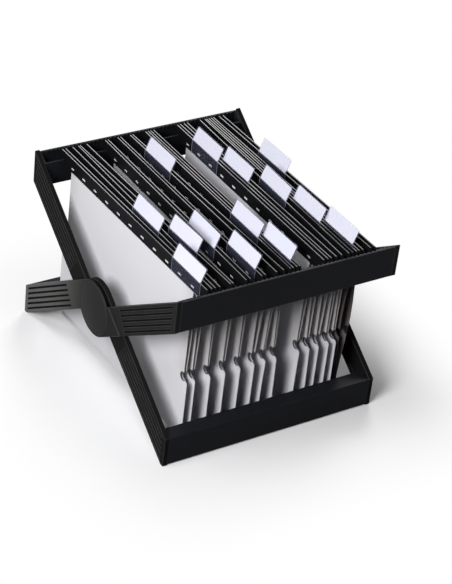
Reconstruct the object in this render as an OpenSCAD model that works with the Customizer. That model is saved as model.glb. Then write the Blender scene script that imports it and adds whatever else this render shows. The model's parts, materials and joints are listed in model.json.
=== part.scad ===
// Portable file box: a folding stand that holds hanging folders.
// The stand is two rigid frames that cross on a pivot at each side. Each frame has two side arms
// and two cross beams. The folders hang by their rails from the ledges of the two top beams.
// X runs along the beams, -Y is the front, +Z is up. The origin is on the floor, under the middle.

/* [Stand] */
// Width over the outer arms, without the hub plates and caps
frame_w = 310; // [290:5:420]
// Height of the top beams' outer corners above the floor
frame_h = 240; // [225:1:270]
// Distance between the two ledges that the folders hang on, ledge middle to ledge middle
ledge_spacing = 330; // [320:1:345]
// How far each base beam stands in from the top beam above it
base_inset = 2; // [0:0.5:6]
// Length of the flat foot on each arm, along the depth
foot_flat = 5; // [3:0.5:9]

/* [Arms] */
// Radius of the hub disc, which the arms' outer edges are tangent to
hub_r = 36.5; // [34:0.5:38]
// Half of the slit left between the two frames when they are folded flat
fold_gap = 0.5; // [0.3:0.1:1]
// Thickness of an arm, across the width of the stand
arm_t = 6.5; // [5.5:0.5:9]
// Thickness of an arm's outer skin
skin_t = 2.5; // [2:0.25:3.5]
// Thickness of the rim that stands round an arm's inner side
rim_t = 2.5; // [1.5:0.25:4]
// How far the inner frame's arms stand in from the outer frame's
frame_step = 4; // [3.5:0.25:6]
// Running gap between the two frames, side by side at the hub
side_gap = 0.3; // [0.2:0.05:0.6]
// Gap between an inner arm and the step that stops it in the open pose
stop_gap = 0.4; // [0.2:0.1:1]
// How far the hub plate stands out from the arm's outer face
plate_proud = 1.6; // [0.5:0.1:2.5]
// Number of long grooves in each arm half
groove_count = 5; // [3:1:7]
// Width of one groove
groove_w = 2.2; // [1:0.1:3]
// Depth of one groove
groove_depth = 1.4; // [0.3:0.1:1.6]
// Plain border between an arm's edge and its first groove
groove_border = 5; // [3:0.5:8]
// Distance from the hub centre to where the grooves start
groove_start = 66; // [60:1:90]
// Plain strip between the grooves' far ends and the end of the arm
end_strip = 8; // [4:0.5:15]

/* [Beams] */
// Wall thickness of the beams
beam_wall = 2.5; // [2:0.25:3]
// Clear width of the trough between a top beam's ledge and its outer wall
trough_w = 11.25; // [9:0.25:14]
// Drop of the ledge below the frame's height
ledge_drop = 11.3; // [11.3:0.1:14]
// Drop of the top beam's outer lip below the frame's height
lip_drop = 1.8; // [1.8:0.1:4]
// Depth of a base beam, front to back
base_beam_d = 20; // [14:0.5:22]
// Height of a base beam's outer wall above the floor
base_lift = 2; // [1:0.5:5]
// Height of a base beam's inner wall above the floor
base_inner_lift = 16; // [15:0.5:24]
// Thickness of the plate that closes a beam's end
end_plate_t = 2; // [1.5:0.25:3]
// Gap round the tenon that plugs a beam into an arm
tenon_gap = 0.15; // [0.1:0.05:0.3]
// Width of the small notch in the middle of each base beam's inner edge
notch_w = 6; // [3:0.5:10]
// Depth of that notch
notch_d = 2; // [1:0.25:3]

/* [Pivot] */
// Radius of the pivot pin
pin_r = 5; // [4:0.25:7]
// Radial running gap between the pin and the inner arm
pin_run_gap = 0.06; // [0.02:0.01:0.1]
// Radial gap between the pin and the outer arm, which holds it
pin_seat_gap = 0.02; // [0.01:0.01:0.05]
// Radius of the pin's head
head_r = 9; // [8:0.5:12]
// Thickness of the pin's head
head_t = 2; // [1:0.25:2.5]
// Thickness of the retaining ring
ring_t = 1.5; // [1:0.25:2.5]
// Outer radius of the retaining ring
ring_r = 9; // [8:0.5:12]
// Depth of the groove that the ring sits in
ring_groove = 0.8; // [0.4:0.1:1.2]
// Width of the ring's open mouth
ring_mouth = 6; // [4:0.5:8]
// Length of the pin past the ring
pin_tail = 1; // [0.5:0.25:2]
// Radius of the hub cap
cap_r = 33.5; // [28:0.5:33.5]
// Depth of the seat that the cap is sunk in
cap_seat = 1.2; // [0.8:0.1:1.5]
// How far the cap's middle stands out from the hub plate
cap_rise = 3; // [1:0.25:4]
// Radial gap round the cap
cap_gap = 0.3; // [0.1:0.05:0.4]

/* [Folders] */
// Thickness of a folder's rail
rail_t = 2; // [1.6:0.1:2]
// Height of a rail above the ledge
rail_head = 11; // [8:0.5:11]
// Height of a rail's lower band, between the ledges
rail_skirt = 7.5; // [6:0.5:12]
// Reach of a rail's nose past the middle of the ledge
nose_reach = 9; // [7:0.25:10]
// Drop of the hook at the end of the nose
hook_drop = 3; // [1:0.5:6]
// Length of that hook, along the rail
hook_l = 5; // [3:0.5:6]
// Gap between the ledge and the end of a rail's lower band
skirt_gap = 1.2; // [0.5:0.1:3]
// Cut of the corner over each nose
nose_cut = 2.5; // [1:0.5:5]
// Spacing of the windows along a rail
window_pitch = 28.4; // [20:0.1:30]
// Number of windows in a rail, an odd number
window_count = 11; // [7:2:11]
// Length of one window
window_l = 7.5; // [4:0.5:10]
// Height of one window
window_h = 3; // [2:0.25:4]
// Drop of the windows' top below the ledge
window_drop = 0.5; // [0:0.25:1.5]
// Thickness of the folder's sheet
sheet_t = 0.5; // [0.4:0.05:0.6]
// Gap on each side of the sheet in the rail's channel
sheet_gap = 0.1; // [0.05:0.05:0.15]
// Depth of the channel in a rail, from its lower edge
channel_h = 8.5; // [7:0.5:12]
// Height of a folder's bottom fold above the floor
fold_z = 12; // [8:0.5:20]
// Inside width of the bottom fold
fold_w = 1; // [0.6:0.1:2]
// Gap between a folder's lower part and the base beam
sheet_end_gap = 4.5; // [1:0.25:7]
// How much wider a folder is below its side notch, at each end
sheet_wing = 8.5; // [2:0.5:10]
// Height of the side notch's middle above the floor
side_notch_z = 99.5; // [80:0.5:150]
// Radius of the side notch
side_notch_r = 5; // [3:0.5:6]
// How far the side notch's middle stands in from the upper part's edge
side_notch_in = 1.5; // [0:0.25:3]
// Height of a wing's top above the bottom of the side notch
wing_rise = 0.8; // [0.5:0.1:2]
// Cut of a wing's upper corner
wing_corner = 2; // [0.5:0.25:4]
// How far the right leaf's straight end stands in from the left leaf's upper part
right_short = 0.5; // [0.25:0.25:3]
// How far the last folder's two leaves swell apart, each to its own side
last_swell = 5; // [0:0.25:6]

/* [Tabs] */
// Length of a tab along the rail
tab_l = 62; // [50:1:70]
// Length of a tab's leaning part, up its slope
tab_h = 20; // [15:0.5:25]
// Lean of a tab from upright
tab_lean = 22; // [10:1:28]
// Thickness of the clear holder where it lies on the rail
holder_t = 0.8; // [0.6:0.1:1]
// Gap between the holder and the rail
holder_gap = 0.05; // [0.03:0.01:0.1]
// Thickness of each of the two clear walls that hold the label
sleeve_t = 0.4; // [0.3:0.05:0.6]
// Height of the holder's upright part above the rail, before it leans
holder_rise = 0.5; // [0.5:0.25:3]
// Thickness of the paper label in the holder
label_t = 0.3; // [0.2:0.05:0.4]
// Gap on each side of the label
label_gap = 0.05; // [0.03:0.01:0.08]
// Margin between the label and the holder's ends and top
label_margin = 1; // [0.5:0.25:3]
// Length of the peg that holds a tab in a window
peg_l = 4.5; // [3:0.25:6]
// Height of that peg
peg_h = 2; // [1.5:0.25:2.5]

/* [Hidden] */
// Where each folder hangs: its left rail at the back and at the front, the spread of its two rails at
// the back and at the front, the bottom fold at the front, and the tab's place counted from the front
folders = [
    [-117, -110.5, 4.5, 6.5, -111.5, 0],
    [-102.5, -99.5, 8, 6, -100.5, 2],
    [-92, -79, 9.5, 3.5, -78, 1],
    [-56, -58, 4, 6, -58.5, 1],
    [-38, -36.5, 4, 5, -37, 0],
    [-20, -16, 3.5, 10, -17, 4],
    [2.5, 3, 4, 4, -3, 1],
    [10, 12.5, 4.5, 4, 16, 0],
    [50, 50, 4.5, 6, 47, 4],
    [60, 60.5, 5, 7.5, 64.5, 3],
    [84.5, 76, 7, 10, 76.5, 2],
    [94, 91.5, 3.5, 5.5, 91.5, 1],
    [101, 101, 3.5, 5.5, 103, 0],
    [113, 117.5, 6, 6, 117.5, 3],
];
folder_count = len(folders);
last_folder = folder_count - 1; // it has no wings, and no notch in its right leaf
function folder_name(k) = str("folder_", k < 9 ? "0" : "", k + 1);

FRAME_NODES = [
    "outer_left_arm", "outer_right_arm", "inner_left_arm", "inner_right_arm",
    "top_front_beam", "top_back_beam", "base_front_beam", "base_back_beam",
    "left_pivot_pin", "right_pivot_pin", "left_retaining_ring", "right_retaining_ring",
    "left_hub_cap", "right_hub_cap",
];
FOLDER_NODES = [
    for (k = [0 : folder_count - 1]) for (piece = ["_card", "_rails", "_tab"]) str(folder_name(k), piece)
];
$fn = 64;
past = 1; // how far a cut runs past the face that it opens

// Half depths, from the middle plane to the outer faces of the top and base beams
ledge_half = ledge_spacing / 2;
top_half = ledge_half + beam_wall / 2 + trough_w + beam_wall;
base_half = top_half - base_inset;

// Slope of the arms. The outer corner of a top end lies at frame_h, and the foot is foot_flat long.
reach = top_half + base_half - foot_flat;
slit = 2 * fold_gap;
slope = (reach * frame_h + slit * sqrt(reach * reach + frame_h * frame_h - slit * slit))
    / (reach * reach - slit * slit);
arm_angle = atan(slope);
hub_z = (base_half - foot_flat) * slope - fold_gap / cos(arm_angle);

// Depth positions, counted inwards from the outer arms' outer faces
plate_in = frame_step - side_gap;
seat_in = cap_seat - plate_proud;
head_in = seat_in + head_t;
ring_in = frame_step + arm_t + side_gap;
pin_in = ring_in + ring_t + pin_tail;

// A point at a distance s from the hub along an arm half and a distance o on its lower side, for
// the outer frame's top front half. The y and z are counted from the hub.
function along(s, o) = [
    -(s * cos(arm_angle) + o * sin(arm_angle)), s * sin(arm_angle) - o * cos(arm_angle)
];
// The s at which an arm's line at offset o meets the upright end of a half, or the open-pose step
function end_s(o, half) = (half - o * sin(arm_angle)) / cos(arm_angle);
function step_s(o, gap) = (hub_r + gap + o * cos(2 * arm_angle)) / sin(2 * arm_angle);
// Height of the arm's upper and lower edge at a distance y from the middle, above the floor
function edge_z(y, o) = hub_z + y * slope - o / cos(arm_angle);

// Outline of a top half arm. It starts at the step where from_step is true, or else at the hub.
function top_half_outline(inset, from_step) = [
    along(from_step ? step_s(fold_gap + inset, stop_gap + inset) : 0, fold_gap + inset),
    along(end_s(fold_gap + inset, top_half - inset), fold_gap + inset),
    along(end_s(hub_r - inset, top_half - inset), hub_r - inset),
    along(from_step ? step_s(hub_r - inset, stop_gap + inset) : 0, hub_r - inset),
];
// Outline of a base half arm, which also has the flat foot
function base_half_outline(inset, from_step) = [
    -along(from_step ? step_s(fold_gap + inset, stop_gap + inset) : 0, fold_gap + inset),
    -along((hub_z - inset + (fold_gap + inset) * cos(arm_angle)) / sin(arm_angle), fold_gap + inset),
    [base_half - inset, inset - hub_z],
    -along(end_s(hub_r - inset, base_half - inset), hub_r - inset),
    -along(from_step ? step_s(hub_r - inset, stop_gap + inset) : 0, hub_r - inset),
];
// Outline of the hub plate's part of a half, from the hub to the step
function plate_outline(side) = [
    side * along(0, fold_gap),
    side * along(step_s(fold_gap, stop_gap), fold_gap),
    side * along(step_s(hub_r, stop_gap), hub_r),
    side * along(0, hub_r),
];

// Puts children, drawn with x counted inwards and z from the hub, on the left or the right side
module on_side(right) {
    if (right) mirror([1, 0, 0]) translate([-frame_w / 2, 0, hub_z]) children();
    else translate([-frame_w / 2, 0, hub_z]) children();
}
// Turns the outer frame's shape into the inner frame's, which leans the other way
module leaning(inner) {
    if (inner) mirror([0, 1, 0]) children();
    else children();
}
// A flat outline in y and z, made thick from one x to another
module slab(x_from, x_to) {
    translate([x_from, 0, 0]) rotate([90, 0, 90]) linear_extrude(height = x_to - x_from) children();
}
module disc(x_from, x_to, radius) {
    translate([x_from, 0, 0]) rotate([0, 90, 0]) cylinder(r = radius, h = x_to - x_from);
}

// The long grooves of one half, cut into the outer face
module grooves(half) {
    first = fold_gap + groove_border;
    pitch = (hub_r - fold_gap - 2 * groove_border) / (groove_count - 1);
    for (i = [0 : groove_count - 1]) {
        low = first + i * pitch - groove_w / 2;
        high = low + groove_w;
        polygon([
            along(groove_start, low), along(end_s(low, half - end_strip), low),
            along(end_s(high, half - end_strip), high), along(groove_start, high),
        ]);
    }
}

// Two half arms with their rims and grooves, starting at the step or at the hub
module arm_halves(from_step) {
    difference() {
        union() {
            slab(0, arm_t) polygon(top_half_outline(0, from_step));
            slab(0, arm_t) polygon(base_half_outline(0, from_step));
        }
        slab(skin_t, arm_t + past) polygon(top_half_outline(rim_t, from_step));
        slab(skin_t, arm_t + past) polygon(base_half_outline(rim_t, from_step));
        slab(-past, groove_depth) grooves(top_half);
        slab(-past, groove_depth) rotate(180) grooves(base_half);
    }
}

module outer_arm(right) {
    color([0.19, 0.19, 0.2]) on_side(right) difference() {
        union() {
            arm_halves(true);
            disc(-plate_proud, plate_in, hub_r);
            slab(-plate_proud, plate_in) polygon(plate_outline(1));
            slab(-plate_proud, plate_in) polygon(plate_outline(-1));
        }
        disc(-plate_proud - past, seat_in, cap_r + cap_gap);
        disc(-plate_proud - past, head_in, head_r + pin_seat_gap);
        disc(-plate_proud - past, plate_in + past, pin_r + pin_seat_gap);
    }
}

module inner_arm(right) {
    color([0.19, 0.19, 0.2]) on_side(right) translate([frame_step, 0, 0]) leaning(true) difference() {
        union() {
            arm_halves(false);
            disc(0, arm_t, hub_r);
        }
        disc(-past, arm_t + past, pin_r + pin_run_gap);
    }
}

module pivot_pin(right) {
    color([0.62, 0.63, 0.65]) on_side(right) difference() {
        union() {
            disc(seat_in, head_in, head_r);
            disc(head_in, pin_in, pin_r);
        }
        difference() {
            disc(ring_in, ring_in + ring_t, pin_r + past);
            disc(ring_in, ring_in + ring_t, pin_r - ring_groove);
        }
    }
}

module retaining_ring(right) {
    color([0.55, 0.56, 0.58]) on_side(right) difference() {
        disc(ring_in, ring_in + ring_t, ring_r);
        disc(ring_in - past, ring_in + ring_t + past, pin_r - ring_groove + pin_seat_gap);
        translate([ring_in - past, -ring_mouth / 2, 0]) cube([ring_t + 2 * past, ring_mouth, ring_r + past]);
    }
}

// A bare cap with a shallow dome
module hub_cap(right) {
    dome_r = (cap_r * cap_r + cap_rise * cap_rise) / (2 * cap_rise);
    spread = asin(cap_r / dome_r);
    arc_steps = 12;
    dome = [
        for (i = [0 : arc_steps])
            [dome_r * sin(spread * i / arc_steps), cap_rise - dome_r * (1 - cos(spread * i / arc_steps))]
    ];
    color([0.2, 0.2, 0.21]) on_side(right) translate([-plate_proud, 0, 0]) rotate([0, -90, 0])
        rotate_extrude() polygon(concat([[0, -cap_seat]], dome, [[cap_r, -cap_seat]]));
}

// Outline of a top beam's end, inside the arm's outline. The y is the distance from the middle.
ledge_z = frame_h - ledge_drop;
ledge_in = ledge_half - beam_wall / 2;
top_low_z = edge_z(top_half, hub_r);
function top_beam_end() = [
    [ledge_in, top_low_z], [top_half, top_low_z], [top_half, frame_h - lip_drop], [ledge_in, ledge_z],
];
// Section of a top beam: a trough that is open upwards
function top_beam_section() = [
    [ledge_in, top_low_z], [top_half, top_low_z], [top_half, frame_h - lip_drop],
    [top_half - beam_wall, frame_h - lip_drop], [top_half - beam_wall, top_low_z + beam_wall],
    [ledge_in + beam_wall, top_low_z + beam_wall], [ledge_in + beam_wall, ledge_z], [ledge_in, ledge_z],
];
base_in = base_half - base_beam_d;
base_top_z = 2 * hub_z - edge_z(base_half, hub_r);
function base_beam_end() = [
    [base_in, base_inner_lift], [base_half, base_lift], [base_half, base_top_z], [base_in, base_top_z],
];
// Section of a base beam: a trough that is open downwards
function base_beam_section() = [
    [base_in, base_inner_lift], [base_in + beam_wall, base_inner_lift],
    [base_in + beam_wall, base_top_z - beam_wall], [base_half - beam_wall, base_top_z - beam_wall],
    [base_half - beam_wall, base_lift], [base_half, base_lift], [base_half, base_top_z],
    [base_in, base_top_z],
];

// Fills a beam's section between its two arms, closes its ends and gives each end a tenon, which
// fills the arm's hollow where the beam meets it. Child 0 is the section, child 1 the end's outline
// and child 2 the arm's hollow, all with y as the distance from the middle.
module beam_body(arm_in) {
    inner_face = arm_in + arm_t;
    slab(inner_face - frame_w / 2, frame_w / 2 - inner_face) children(0);
    for (right = [false, true]) mirror([right ? 1 : 0, 0, 0]) translate([-frame_w / 2, 0, 0]) {
        slab(inner_face, inner_face + end_plate_t) children(1);
        slab(arm_in + skin_t, inner_face) intersection() {
            children(1);
            children(2);
        }
    }
}
// The hollow of an arm's top or base half, a little smaller, with y as the distance from the middle
function hollow(points) = [for (p = points) [abs(p[0]), p[1] + hub_z]];

module top_beam(front) {
    color([0.11, 0.115, 0.13]) leaning(front) beam_body(front ? 0 : frame_step) {
        polygon(top_beam_section());
        polygon(top_beam_end());
        polygon(hollow(top_half_outline(rim_t + tenon_gap, true)));
    }
}

module base_beam(front) {
    color([0.11, 0.115, 0.13]) leaning(front) difference() {
        beam_body(front ? frame_step : 0) {
            polygon(base_beam_section());
            polygon(base_beam_end());
            polygon(hollow(base_half_outline(rim_t + tenon_gap, true)));
        }
        translate([-notch_w / 2, base_in - past, base_top_z - beam_wall - past])
            cube([notch_w, notch_d + past, beam_wall + 2 * past]);
    }
}

// Folder sizes that follow from the stand
rail_half = ledge_half + nose_reach;
skirt_half = ledge_in - skirt_gap;
rail_top_z = ledge_z + rail_head;
rail_low_z = ledge_z - rail_skirt;
sheet_top_z = rail_low_z + channel_h;
wing_half = base_in - sheet_end_gap;
sheet_half = wing_half - sheet_wing;

// Place of a folder's left or right rail, and of its fold, at a distance y from the middle
function mix(a, b, t) = a + (b - a) * t;
function back_share(y) = (y + rail_half) / (2 * rail_half);
function left_x(k, y) = mix(folders[k][1], folders[k][0], back_share(y));
function right_x(k, y) = left_x(k, y) + mix(folders[k][3], folders[k][2], back_share(y));
function fold_x(k, y) = folders[k][4] + (folders[k][0] - folders[k][1]) * back_share(y);

// How far up from the fold to the rail a leaf has come, as a smooth curve from 0 to 1
leaf_steps = 10;
straight_share = 0.05; // share of the leaf's height that hangs plumb under the rail
function ease(t) = t * t * (3 - 2 * t);
function leaf_share(i) = ease(min(1, i / leaf_steps / (1 - straight_share)));
function leaf_z(i) = mix(fold_z + 2 * sheet_t, sheet_top_z, i / leaf_steps);
function swell(k, i) = k == last_folder ? last_swell * sin(180 * leaf_share(i)) : 0;
// A leaf's middle line, where the side is -1 for the left leaf and 1 for the right one
function leaf_x(k, y, side, i) = side * swell(k, i) + mix(
    fold_x(k, y) + side * (fold_w + sheet_t) / 2, side < 0 ? left_x(k, y) : right_x(k, y), leaf_share(i));
// One leaf's curve at y, moved sideways from its middle line
function leaf(k, y, side, shift) = [
    for (i = [0 : leaf_steps]) [leaf_x(k, y, side, i) + shift, y, leaf_z(i)]
];
function reversed(list) = [for (i = [len(list) - 1 : -1 : 0]) list[i]];
// Where the left leaf, with its wing, and the right leaf, with a straight end, come to
function left_end(k) = k == last_folder ? sheet_half : wing_half;
right_end = sheet_half - right_short;
// The folder's outer and inner line at an end, where the end is -1 for the front and 1 for the back:
// down the left leaf, round the fold and up the right leaf
function outer_line(k, end) = let (y = end * left_end(k), right_y = end * right_end) concat(
    reversed(leaf(k, y, -1, -sheet_t / 2)),
    [[fold_x(k, y) - fold_w / 2, y, fold_z], [fold_x(k, right_y) + fold_w / 2, right_y, fold_z]],
    leaf(k, right_y, 1, sheet_t / 2)
);
function inner_line(k, end) = let (y = end * left_end(k), right_y = end * right_end) concat(
    reversed(leaf(k, y, -1, sheet_t / 2)),
    [[fold_x(k, y) - fold_w / 4, y, fold_z + sheet_t]],
    [[fold_x(k, right_y) + fold_w / 4, right_y, fold_z + sheet_t]],
    leaf(k, right_y, 1, -sheet_t / 2)
);

// What is cut from a folder's end: the notch, and the strip above the left leaf's wing
module side_notch() {
    translate([sheet_half - side_notch_in, side_notch_z]) circle(r = side_notch_r, $fn = 12);
}
module wing_strip() {
    wide = wing_half + past;
    tall = sheet_top_z + past;
    wing_z = side_notch_z - side_notch_r + wing_rise;
    polygon([
        [sheet_half, tall], [wide, tall], [wide, wing_z - wing_corner], [wing_half, wing_z - wing_corner],
        [wing_half - wing_corner, wing_z], [sheet_half, wing_z],
    ]);
}
// The x midway between the last folder's leaves at its notch, at an end
notch_step = leaf_steps * (side_notch_z - leaf_z(0)) / (leaf_z(leaf_steps) - leaf_z(0));
function between_leaves(y) =
    (leaf_x(last_folder, y, -1, notch_step) + leaf_x(last_folder, y, 1, notch_step)) / 2;

// One sheet, folded at the bottom. Its four lines run from back outer to front inner, in that order.
module folder_card(k) {
    n = 2 * leaf_steps + 4; // points in each line
    back_in = n;
    front = 2 * n;
    front_in = 3 * n;
    strips = [
        for (j = [0 : n - 2]) each [
            [j, front + j, front + j + 1], [j, front + j + 1, j + 1],
            [back_in + j, front_in + j + 1, front_in + j], [back_in + j, back_in + j + 1, front_in + j + 1],
            [j, j + 1, back_in + j + 1], [j, back_in + j + 1, back_in + j],
            [front + j, front_in + j, front_in + j + 1], [front + j, front_in + j + 1, front + j + 1],
        ]
    ];
    rims = [[0, back_in, front_in, front], [n - 1, front + n - 1, front_in + n - 1, back_in + n - 1]];
    lines = concat(outer_line(k, 1), inner_line(k, 1), outer_line(k, -1), inner_line(k, -1));
    color([0.95, 0.95, 0.97]) difference() {
        polyhedron(points = lines, faces = concat(strips, rims));
        for (front_end = [false, true]) leaning(front_end) {
            y = front_end ? -sheet_half : sheet_half;
            slab(-frame_w / 2, k == last_folder ? between_leaves(y) : frame_w / 2) side_notch();
            if (k != last_folder) slab(-frame_w / 2, frame_w / 2) wing_strip();
        }
    }
}

// Puts children, drawn with x from the rail's middle plane, on a folder's left or right rail
module on_rail(k, right) {
    x_back = right ? right_x(k, rail_half) : left_x(k, rail_half);
    x_front = right ? right_x(k, -rail_half) : left_x(k, -rail_half);
    translate([(x_back + x_front) / 2, 0, 0]) rotate(-atan((x_back - x_front) / (2 * rail_half))) children();
}

// Half of a rail's outline, from its middle to its nose
function rail_outline() = [
    [skirt_half, rail_low_z], [skirt_half, ledge_z], [rail_half - hook_l, ledge_z],
    [rail_half - hook_l, ledge_z - hook_drop], [rail_half, ledge_z - hook_drop],
    [rail_half, rail_top_z - nose_cut], [rail_half - nose_cut, rail_top_z],
];
window_top_z = ledge_z - window_drop;
function window_y(i) = (i - (window_count - 1) / 2) * window_pitch;

module rail_bar() {
    half = rail_outline();
    channel_w = sheet_t + 2 * sheet_gap;
    channel_l = 2 * (sheet_half + past);
    difference() {
        slab(-rail_t / 2, rail_t / 2) polygon(concat(half, [for (p = reversed(half)) [-p[0], p[1]]]));
        translate([-channel_w / 2, -channel_l / 2, rail_low_z - past])
            cube([channel_w, channel_l, channel_h + past]);
        for (i = [0 : window_count - 1])
            translate([-rail_t / 2 - past, window_y(i) - window_l / 2, window_top_z - window_h])
                cube([rail_t + 2 * past, window_l, window_h]);
    }
}

module folder_rails(k) {
    color([0.1, 0.1, 0.11]) for (right = [false, true]) on_rail(k, right) rail_bar();
}

// A clear holder, which leans and is pegged into two windows of the left rail, and its paper label
holder_x = -rail_t / 2 - holder_gap;
holder_low_z = rail_low_z + holder_rise;
bend_z = rail_top_z + holder_rise;
label_slot = label_t + 2 * label_gap;
sleeve_w = label_slot + 2 * sleeve_t;
sleeve_floor = 2 * sleeve_t;

module along_rail(length) {
    rotate([90, 0, 0]) linear_extrude(height = length, center = true) children();
}
module on_slope() {
    translate([holder_x - holder_t / 2, bend_z]) rotate(-tab_lean) children();
}

module folder_tab(k) {
    first = window_y(2 * folders[k][5]);
    color([0.93, 0.94, 0.98]) on_rail(k, false) translate([0, first + window_pitch / 2, 0]) {
        along_rail(tab_l) {
            translate([holder_x - holder_t, holder_low_z]) square([holder_t, bend_z - holder_low_z]);
            on_slope() difference() {
                translate([-sleeve_w / 2, 0]) square([sleeve_w, tab_h]);
                translate([-label_slot / 2, sleeve_floor]) square([label_slot, tab_h]);
            }
        }
        for (side = [-1, 1])
            translate([holder_x - holder_t / 2, side * window_pitch / 2 - peg_l / 2, window_top_z - peg_h])
                cube([holder_t / 2 + holder_gap + (rail_t - sheet_t) / 2 - sheet_gap, peg_l, peg_h]);
        along_rail(tab_l - 2 * label_margin) on_slope() translate([-label_t / 2, sleeve_floor + label_gap])
            square([label_t, tab_h - sleeve_floor - label_gap - label_margin]);
    }
}

outer_arm(false);  // outer_left_arm
outer_arm(true);  // outer_right_arm
inner_arm(false);  // inner_left_arm
inner_arm(true);  // inner_right_arm
top_beam(true);  // top_front_beam
top_beam(false);  // top_back_beam
base_beam(true);  // base_front_beam
base_beam(false);  // base_back_beam
pivot_pin(false);  // left_pivot_pin
pivot_pin(true);  // right_pivot_pin
retaining_ring(false);  // left_retaining_ring
retaining_ring(true);  // right_retaining_ring
hub_cap(false);  // left_hub_cap
hub_cap(true);  // right_hub_cap
for (k = [0 : folder_count - 1]) {
    folder_card(k);
    folder_rails(k);
    folder_tab(k);
}
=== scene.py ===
"""Portable file box: a folding stand with hanging folders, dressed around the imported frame.

Laid out as an add-on. Run as a script, it dresses the frame's nodes, builds the stage and stops.
Everything is in metres, in the frame's own axes: X along the beams, -Y the front, +Z up.
"""

import json
import math

import bpy
from bpy.props import FloatProperty, FloatVectorProperty, PointerProperty
from mathutils import Matrix, Vector

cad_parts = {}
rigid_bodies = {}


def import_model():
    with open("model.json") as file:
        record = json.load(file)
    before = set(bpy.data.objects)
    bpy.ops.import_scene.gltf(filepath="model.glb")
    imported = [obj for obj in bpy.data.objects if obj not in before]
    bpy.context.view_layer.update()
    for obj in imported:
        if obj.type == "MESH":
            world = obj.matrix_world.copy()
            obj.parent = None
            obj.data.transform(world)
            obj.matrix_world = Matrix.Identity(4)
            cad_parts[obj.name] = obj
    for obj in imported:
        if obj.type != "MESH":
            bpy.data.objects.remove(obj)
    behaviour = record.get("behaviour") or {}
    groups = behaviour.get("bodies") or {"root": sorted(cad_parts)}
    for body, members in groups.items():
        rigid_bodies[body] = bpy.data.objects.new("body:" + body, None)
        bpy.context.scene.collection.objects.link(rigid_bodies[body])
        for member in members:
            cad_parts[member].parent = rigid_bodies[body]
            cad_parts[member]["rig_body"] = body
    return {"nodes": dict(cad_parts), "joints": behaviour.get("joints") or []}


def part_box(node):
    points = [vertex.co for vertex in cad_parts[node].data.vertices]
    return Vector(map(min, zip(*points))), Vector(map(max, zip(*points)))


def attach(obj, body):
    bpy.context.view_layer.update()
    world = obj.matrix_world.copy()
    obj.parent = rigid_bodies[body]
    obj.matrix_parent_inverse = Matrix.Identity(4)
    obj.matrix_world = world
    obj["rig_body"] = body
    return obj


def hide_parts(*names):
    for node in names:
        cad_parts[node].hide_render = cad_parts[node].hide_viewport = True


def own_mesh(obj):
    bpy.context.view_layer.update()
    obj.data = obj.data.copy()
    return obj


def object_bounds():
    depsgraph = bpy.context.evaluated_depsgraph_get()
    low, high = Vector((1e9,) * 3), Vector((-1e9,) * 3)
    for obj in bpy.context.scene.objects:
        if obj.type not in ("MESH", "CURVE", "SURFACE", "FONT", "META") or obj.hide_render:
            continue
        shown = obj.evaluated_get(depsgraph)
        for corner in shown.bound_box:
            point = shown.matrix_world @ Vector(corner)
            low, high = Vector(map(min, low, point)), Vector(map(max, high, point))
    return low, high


bl_info = {
    "name": "Portable file box",
    "version": (1, 0, 0),
    "blender": (4, 5, 0),
    "location": "3D View > Sidebar > File box",
    "description": "Dresses a folding stand with hanging folders and sets its stage",
    "category": "Object",
}

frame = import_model()
CAD_LOW, CAD_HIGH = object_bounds()
MM = 0.001

# Facts of the frame that the patterns and added pieces follow, read from it where it states them
FOLDER_COUNT = sum(name.endswith("_card") for name in frame["nodes"])
RAIL_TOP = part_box("folder_01_rails")[1].z
RAIL_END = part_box("folder_01_rails")[1].y
HUB_HEIGHT = next(j for j in frame["joints"] if j["name"] == "frame_fold")["pos_m"][2]

# The arms: how far out their outer faces stand and the grooves in these
ARM_FACE = {"outer": 155 * MM, "inner": 151 * MM}
GROOVE_DEPTH = 1.4 * MM
# The grooves get painted shade between these depths under the outer face
GROOVE_DARK_FROM, GROOVE_DARK_TO = 0.4 * GROOVE_DEPTH, 1.2 * GROOVE_DEPTH

# The top beams: their walls, and how the teeth sit on the lips
BEAM_WALL = 2.5 * MM
TOOTH_BELOW_LIP = 0.15 * MM
TOOTH_SUNK = 0.6 * MM
TOOTH_HEIGHT = 3 * MM
TOOTH_SHARE = 0.6
TOOTH_EDGE_RADIUS = 0.35 * MM
TEETH_END_ROOM = 16 * MM

# The rails: their windows, their thickness and the tips of their noses
WINDOW_PITCH = 28.4 * MM
WINDOW_COUNT = 11
WINDOW_MIDDLE = RAIL_TOP - 13 * MM
RAIL_THICKNESS = 2 * MM
RAIL_TOP_SLACK = 0.05 * MM
NOSE_TIP = 2 * MM

# The notches in the sheets' side edges: how far from the middle and how high, and their radius
NOTCH_PLACE = (143.5 * MM, 99.5 * MM)
NOTCH_RADIUS = 5 * MM

# Where tones change, in metres: along Y for the arms' painted light and the rails' painted
# highlights, by the distance from the middle and by the height for the sheets' painted shade,
# round the notches' painted shade, and outside the footprint
ARM_BACK_LIGHT_SPAN = (0.0, 0.13)
RAIL_HIGHLIGHT_SPAN = (-0.14, 0.12)
SHEET_END_SHADE_SPAN = (0.118, 0.146)
SHEET_UPPER_SHADE_SPAN = (0.096, 0.112)
NOTCH_SHADE_SPAN = (NOTCH_RADIUS + 0.4 * MM, NOTCH_RADIUS + 1.6 * MM)
FLOOR_WHITE_SPAN = (0.0, 0.18)

# The tabs: how near an end, the top and the foot an edge has to be to belong to a corner
CORNER_END_REACH = 1.5 * MM
CORNER_TOP_REACH = 2 * MM
CORNER_FOOT_REACH = 0.2 * MM

# Least cosine for a face that looks up, a face at the film's rim and an edge across the film
LOOKS_UP = 0.99
LOOKS_OUT = 0.9
RUNS_ACROSS = 0.8

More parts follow.
